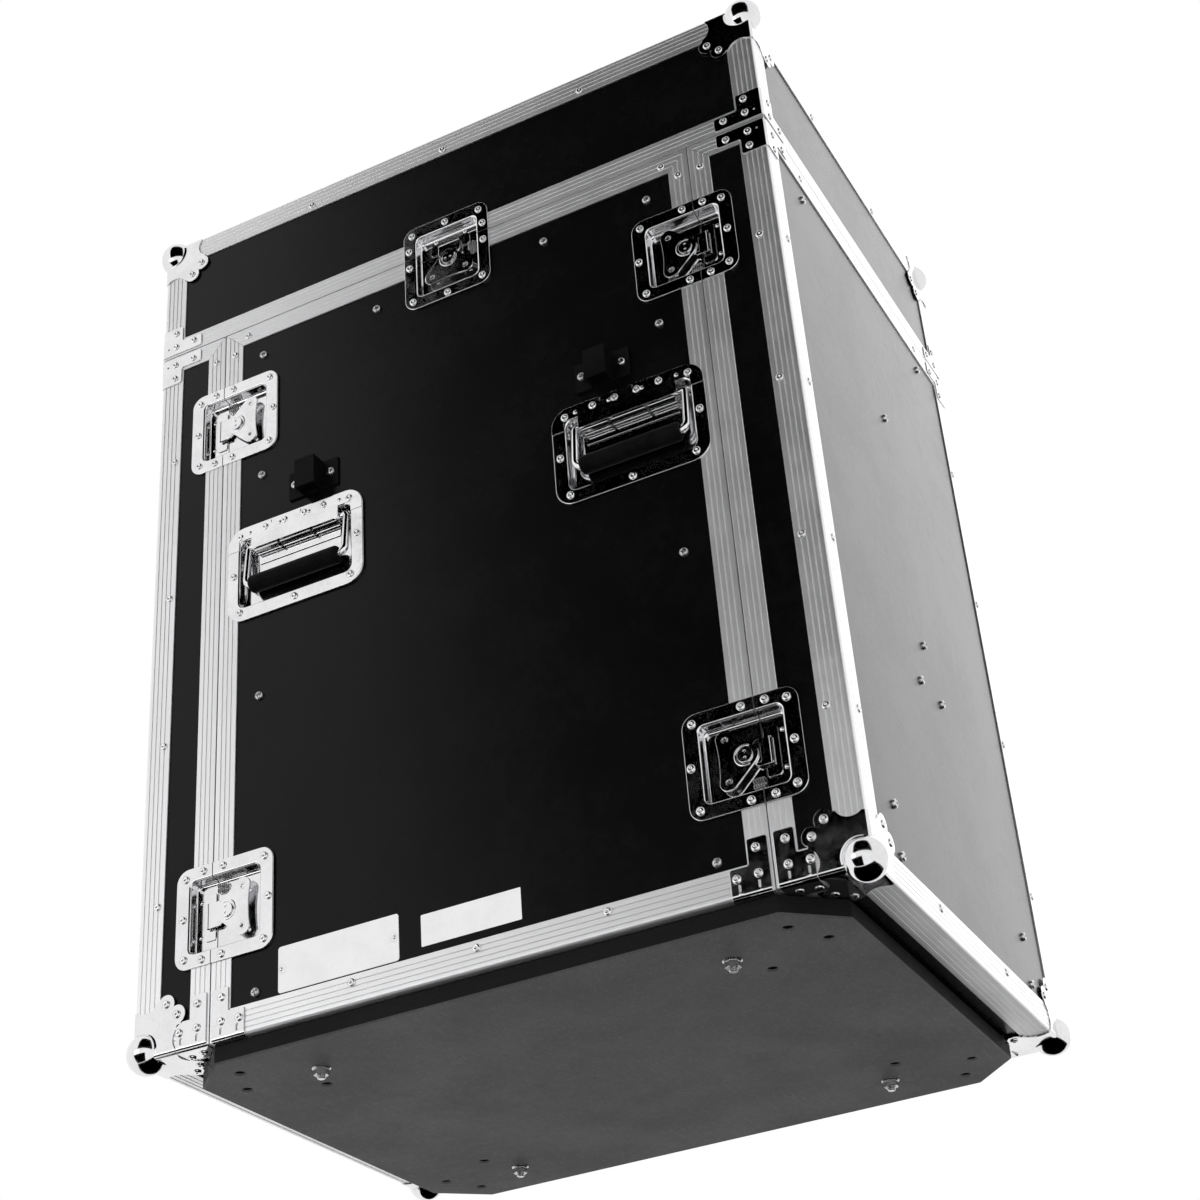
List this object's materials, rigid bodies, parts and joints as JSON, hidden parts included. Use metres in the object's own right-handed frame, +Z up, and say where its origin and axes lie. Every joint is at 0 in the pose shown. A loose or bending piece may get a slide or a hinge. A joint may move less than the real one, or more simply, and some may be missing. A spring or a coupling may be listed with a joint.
{
  "type": "equipment rack case",
  "caption": "Upright flight case for 19 inch equipment: plywood body with rack rails, lift-off lid, pull-off end covers, turn latches, spring handles and a caster board.",
  "frame": {"origin": "bottom centre of the whole case, on the plane of the four bolt tips that it stands on", "axes": "+Z up towards the lid; -Y towards the front cover, +Y towards the rear cover; X across the width of the rack, with the name plate on the -X side"},
  "size_m": [0.5568, 0.766, 1.029],
  "materials": {
    "laminate": "satin black laminate on plywood",
    "extrusion": "ribbed, clear anodised",
    "chrome": "bright plated pressed steel",
    "board": "black stained plywood",
    "zinc": "bright zinc plated",
    "rivet": "plain rivet heads",
    "rail": "black powder coat",
    "bracket": "black, satin",
    "plate": "blank, matt silver white",
    "spring": "spring wire",
    "bail": "bright rod with a black rubber grip"
  },
  "bodies": {
    "body": {"left_side_panel": "laminate", "right_side_panel": "laminate", "bottom_panel": "laminate", "body_edge_angles": "extrusion", "body_parting_frame": "extrusion", "body_corner_braces": "chrome", "caster_board": "board", "board_bolts": "zinc", "front_rack_rails": "rail", "rear_rack_rails": "rail", "mixer_rails": "rail", "panel_screws": "zinc", "handle_dishes": "chrome", "handle_springs": "spring", "latch_dishes": "chrome", "side_brackets": "bracket", "body_rivets": "rivet", "blank_plates": "plate"},
    "lid": {"lid_top_panel": "laminate", "lid_wall_panels": "laminate", "lid_extrusions": "extrusion", "lid_ball_corners": "chrome", "lid_corner_braces": "chrome", "lid_keepers": "chrome", "lid_rivets": "rivet"},
    "front_cover": {"front_cover_panels": "laminate", "front_cover_extrusions": "extrusion", "front_cover_corners": "chrome", "front_cover_keepers": "chrome", "front_cover_rivets": "rivet"},
    "rear_cover": {"rear_cover_panels": "laminate", "rear_cover_extrusions": "extrusion", "rear_cover_corners": "chrome", "rear_cover_keepers": "chrome", "rear_cover_rivets": "rivet"},
    "wing_left_front_low": {"wing_left_front_low": "chrome"},
    "hook_left_front_low": {"hook_left_front_low": "zinc"},
    "wing_left_front_high": {"wing_left_front_high": "chrome"},
    "hook_left_front_high": {"hook_left_front_high": "zinc"},
    "wing_left_rear_low": {"wing_left_rear_low": "chrome"},
    "hook_left_rear_low": {"hook_left_rear_low": "zinc"},
    "wing_left_rear_high": {"wing_left_rear_high": "chrome"},
    "hook_left_rear_high": {"hook_left_rear_high": "zinc"},
    "wing_left_lid": {"wing_left_lid": "chrome"},
    "hook_left_lid": {"hook_left_lid": "zinc"},
    "bail_left_front": {"bail_left_front": "bail"},
    "bail_left_rear": {"bail_left_rear": "bail"},
    "wing_right_front_low": {"wing_right_front_low": "chrome"},
    "hook_right_front_low": {"hook_right_front_low": "zinc"},
    "wing_right_front_high": {"wing_right_front_high": "chrome"},
    "hook_right_front_high": {"hook_right_front_high": "zinc"},
    "wing_right_rear_low": {"wing_right_rear_low": "chrome"},
    "hook_right_rear_low": {"hook_right_rear_low": "zinc"},
    "wing_right_rear_high": {"wing_right_rear_high": "chrome"},
    "hook_right_rear_high": {"hook_right_rear_high": "zinc"},
    "wing_right_lid": {"wing_right_lid": "chrome"},
    "hook_right_lid": {"hook_right_lid": "zinc"},
    "bail_right_front": {"bail_right_front": "bail"},
    "bail_right_rear": {"bail_right_rear": "bail"}
  },
  "joints": [
    {"name": "lid_lift", "type": "slide", "parent": "body", "child": "lid", "axis": [0, 0, 1], "range_m": [0, 0.25]},
    {"name": "front_cover_pull", "type": "slide", "parent": "body", "child": "front_cover", "axis": [0, -1, 0], "range_m": [0, 0.25]},
    {"name": "rear_cover_pull", "type": "slide", "parent": "body", "child": "rear_cover", "axis": [0, 1, 0], "range_m": [0, 0.25]},
    {"name": "wing_left_front_low_turn", "type": "hinge", "parent": "body", "child": "wing_left_front_low", "pos_m": [-0.26, -0.26995, 0.1608], "axis": [-1, 0, 0], "range_deg": [0, 180]},
    {"name": "hook_left_front_low_draw", "type": "slide", "parent": "body", "child": "hook_left_front_low", "axis": [0, -1, 0], "range_m": [0, 0.0052]},
    {"name": "wing_left_front_high_turn", "type": "hinge", "parent": "body", "child": "wing_left_front_high", "pos_m": [-0.26, -0.26995, 0.7316], "axis": [-1, 0, 0], "range_deg": [0, 180]},
    {"name": "hook_left_front_high_draw", "type": "slide", "parent": "body", "child": "hook_left_front_high", "axis": [0, -1, 0], "range_m": [0, 0.0052]},
    {"name": "wing_left_rear_low_turn", "type": "hinge", "parent": "body", "child": "wing_left_rear_low", "pos_m": [-0.26, 0.26995, 0.1608], "axis": [-1, 0, 0], "range_deg": [0, 180]},
    {"name": "hook_left_rear_low_draw", "type": "slide", "parent": "body", "child": "hook_left_rear_low", "axis": [0, 1, 0], "range_m": [0, 0.0052]},
    {"name": "wing_left_rear_high_turn", "type": "hinge", "parent": "body", "child": "wing_left_rear_high", "pos_m": [-0.26, 0.26995, 0.7316], "axis": [-1, 0, 0], "range_deg": [0, 180]},
    {"name": "hook_left_rear_high_draw", "type": "slide", "parent": "body", "child": "hook_left_rear_high", "axis": [0, 1, 0], "range_m": [0, 0.0052]},
    {"name": "wing_left_lid_turn", "type": "hinge", "parent": "body", "child": "wing_left_lid", "pos_m": [-0.26, 0, 0.84175], "axis": [-1, 0, 0], "range_deg": [0, 180]},
    {"name": "hook_left_lid_draw", "type": "slide", "parent": "body", "child": "hook_left_lid", "axis": [0, 0, 1], "range_m": [0, 0.0052]},
    {"name": "bail_left_front_swing", "type": "hinge", "parent": "body", "child": "bail_left_front", "pos_m": [-0.2554, -0.192, 0.563], "axis": [0, 1, 0], "range_deg": [0, 90], "stiffness_Nm_per_rad": 0.8, "springref_deg": -22.92},
    {"name": "bail_left_rear_swing", "type": "hinge", "parent": "body", "child": "bail_left_rear", "pos_m": [-0.2554, 0.192, 0.563], "axis": [0, 1, 0], "range_deg": [0, 90], "stiffness_Nm_per_rad": 0.8, "springref_deg": -22.92},
    {"name": "wing_right_front_low_turn", "type": "hinge", "parent": "body", "child": "wing_right_front_low", "pos_m": [0.26, -0.26995, 0.1608], "axis": [1, 0, 0], "range_deg": [0, 180]},
    {"name": "hook_right_front_low_draw", "type": "slide", "parent": "body", "child": "hook_right_front_low", "axis": [0, -1, 0], "range_m": [0, 0.0052]},
    {"name": "wing_right_front_high_turn", "type": "hinge", "parent": "body", "child": "wing_right_front_high", "pos_m": [0.26, -0.26995, 0.7316], "axis": [1, 0, 0], "range_deg": [0, 180]},
    {"name": "hook_right_front_high_draw", "type": "slide", "parent": "body", "child": "hook_right_front_high", "axis": [0, -1, 0], "range_m": [0, 0.0052]},
    {"name": "wing_right_rear_low_turn", "type": "hinge", "parent": "body", "child": "wing_right_rear_low", "pos_m": [0.26, 0.26995, 0.1608], "axis": [1, 0, 0], "range_deg": [0, 180]},
    {"name": "hook_right_rear_low_draw", "type": "slide", "parent": "body", "child": "hook_right_rear_low", "axis": [0, 1, 0], "range_m": [0, 0.0052]},
    {"name": "wing_right_rear_high_turn", "type": "hinge", "parent": "body", "child": "wing_right_rear_high", "pos_m": [0.26, 0.26995, 0.7316], "axis": [1, 0, 0], "range_deg": [0, 180]},
    {"name": "hook_right_rear_high_draw", "type": "slide", "parent": "body", "child": "hook_right_rear_high", "axis": [0, 1, 0], "range_m": [0, 0.0052]},
    {"name": "wing_right_lid_turn", "type": "hinge", "parent": "body", "child": "wing_right_lid", "pos_m": [0.26, 0, 0.84175], "axis": [1, 0, 0], "range_deg": [0, 180]},
    {"name": "hook_right_lid_draw", "type": "slide", "parent": "body", "child": "hook_right_lid", "axis": [0, 0, 1], "range_m": [0, 0.0052]},
    {"name": "bail_right_front_swing", "type": "hinge", "parent": "body", "child": "bail_right_front", "pos_m": [0.2554, -0.192, 0.563], "axis": [0, -1, 0], "range_deg": [0, 90], "stiffness_Nm_per_rad": 0.8, "springref_deg": -22.92},
    {"name": "bail_right_rear_swing", "type": "hinge", "parent": "body", "child": "bail_right_rear", "pos_m": [0.2554, 0.192, 0.563], "axis": [0, -1, 0], "range_deg": [0, 90], "stiffness_Nm_per_rad": 0.8, "springref_deg": -22.92}
  ],
  "couplings": [
    {"joint": "hook_left_front_low_draw", "follows": "wing_left_front_low_turn", "m_per_rad": 0.0015915},
    {"joint": "hook_left_front_high_draw", "follows": "wing_left_front_high_turn", "m_per_rad": 0.0015915},
    {"joint": "hook_left_rear_low_draw", "follows": "wing_left_rear_low_turn", "m_per_rad": 0.0015915},
    {"joint": "hook_left_rear_high_draw", "follows": "wing_left_rear_high_turn", "m_per_rad": 0.0015915},
    {"joint": "hook_left_lid_draw", "follows": "wing_left_lid_turn", "m_per_rad": 0.0015915},
    {"joint": "hook_right_front_low_draw", "follows": "wing_right_front_low_turn", "m_per_rad": 0.0015915},
    {"joint": "hook_right_front_high_draw", "follows": "wing_right_front_high_turn", "m_per_rad": 0.0015915},
    {"joint": "hook_right_rear_low_draw", "follows": "wing_right_rear_low_turn", "m_per_rad": 0.0015915},
    {"joint": "hook_right_rear_high_draw", "follows": "wing_right_rear_high_turn", "m_per_rad": 0.0015915},
    {"joint": "hook_right_lid_draw", "follows": "wing_right_lid_turn", "m_per_rad": 0.0015915}
  ]
}
